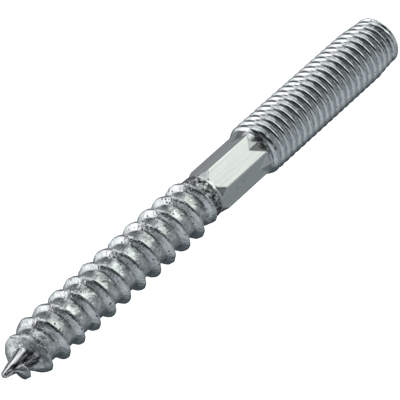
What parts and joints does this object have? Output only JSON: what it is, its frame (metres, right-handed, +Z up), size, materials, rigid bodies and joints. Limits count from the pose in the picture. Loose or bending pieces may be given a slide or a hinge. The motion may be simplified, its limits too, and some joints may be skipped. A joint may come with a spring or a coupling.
{
  "type": "hanger bolt",
  "caption": "Double-ended steel screw: a coarse wood thread with a gimlet point, a hexagonal drive section and a machine-threaded stud in one piece.",
  "frame": {"origin": "on the floor under the middle of the screw's flat machine end", "axes": "+Z up along the screw from its machine end to its wood point, -Y towards the front flat of the hexagon"},
  "size_m": [0.008, 0.008, 0.08],
  "materials": {
    "zinc_plated_steel": "bright zinc plated, lightly worn"
  },
  "bodies": {
    "root": {"hanger_bolt": "zinc_plated_steel"}
  },
  "joints": []
}
